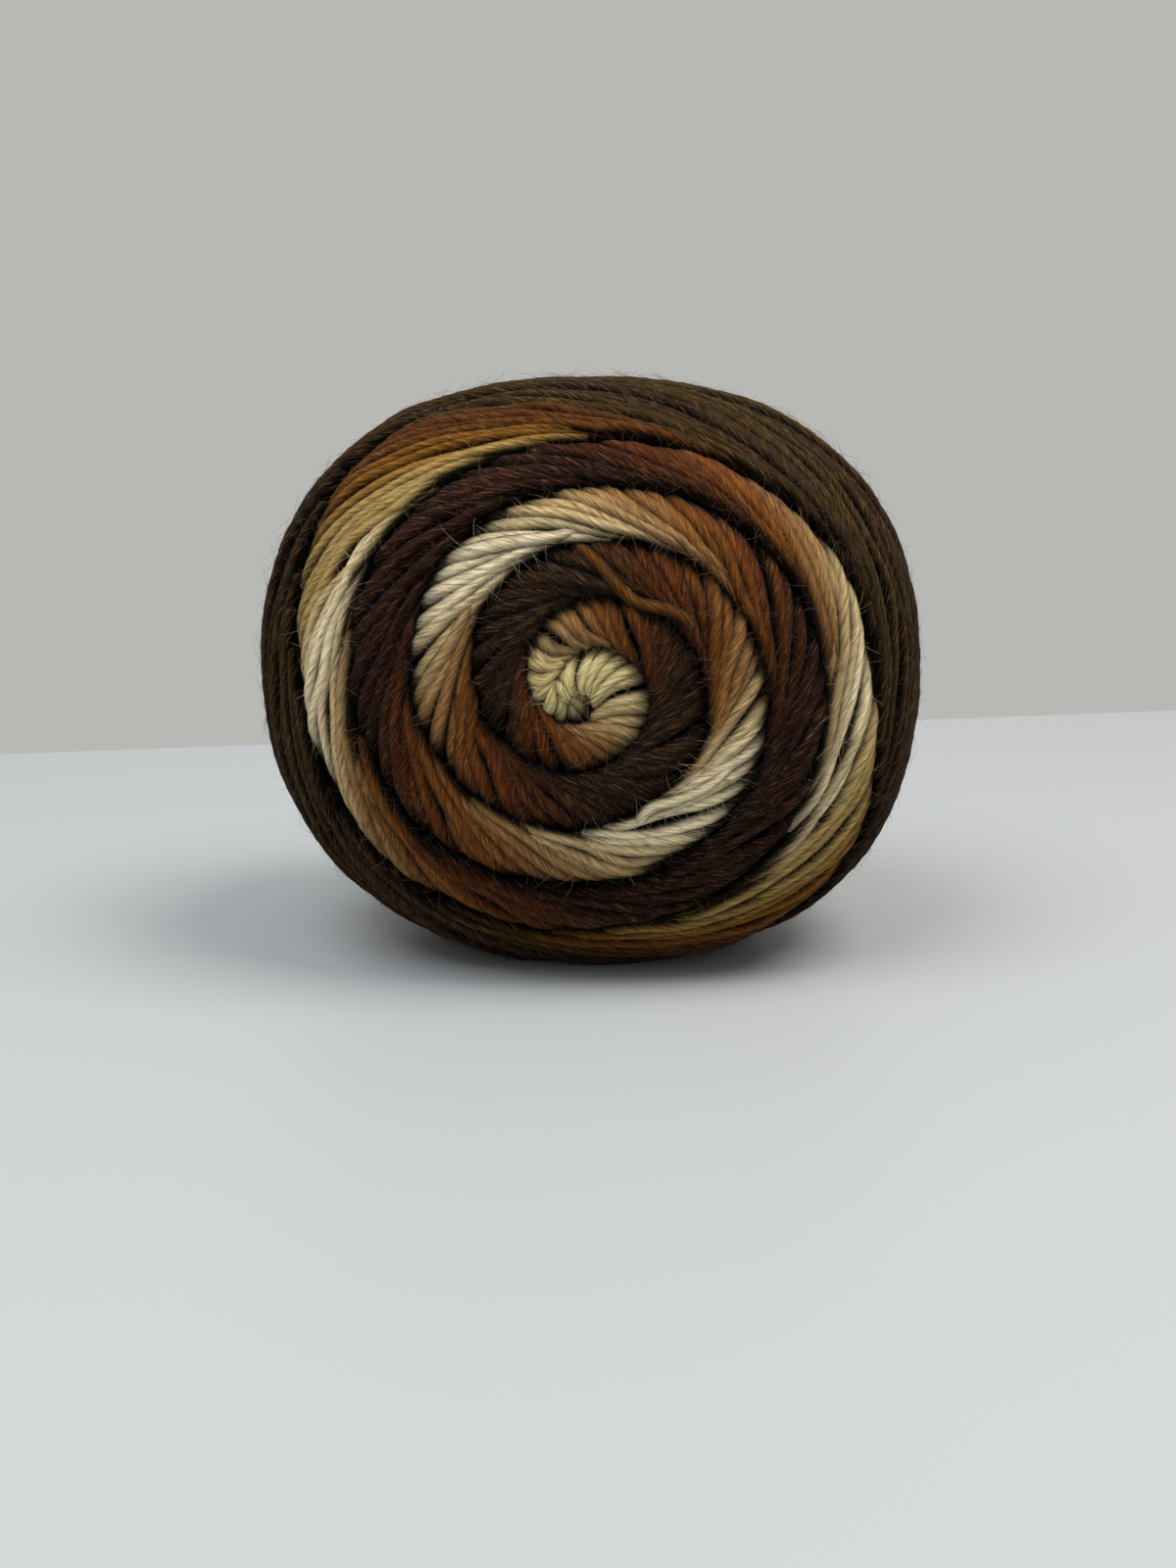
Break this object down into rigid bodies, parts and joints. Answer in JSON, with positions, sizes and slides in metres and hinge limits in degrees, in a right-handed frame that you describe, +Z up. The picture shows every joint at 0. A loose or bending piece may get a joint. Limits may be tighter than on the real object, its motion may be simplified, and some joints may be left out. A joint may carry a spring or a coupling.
{
  "type": "yarn cake",
  "caption": "Yarn cake lying on its side, wound in two spiral arms of slanted turns, with a small flat spot to rest on.",
  "frame": {"origin": "middle of the flat spot that the cake rests on, under the centre of its bounding box", "axes": "+X to the right across the wound face, +Y into the cake along its winding axis, +Z up"},
  "size_m": [0.13, 0.089, 0.1129],
  "materials": {
    "yarn": "soft woollen single-colour runs from dark brown through rust and tan to cream, matt and slightly fuzzy"
  },
  "bodies": {
    "root": {"yarn_cake": "yarn"}
  },
  "joints": []
}
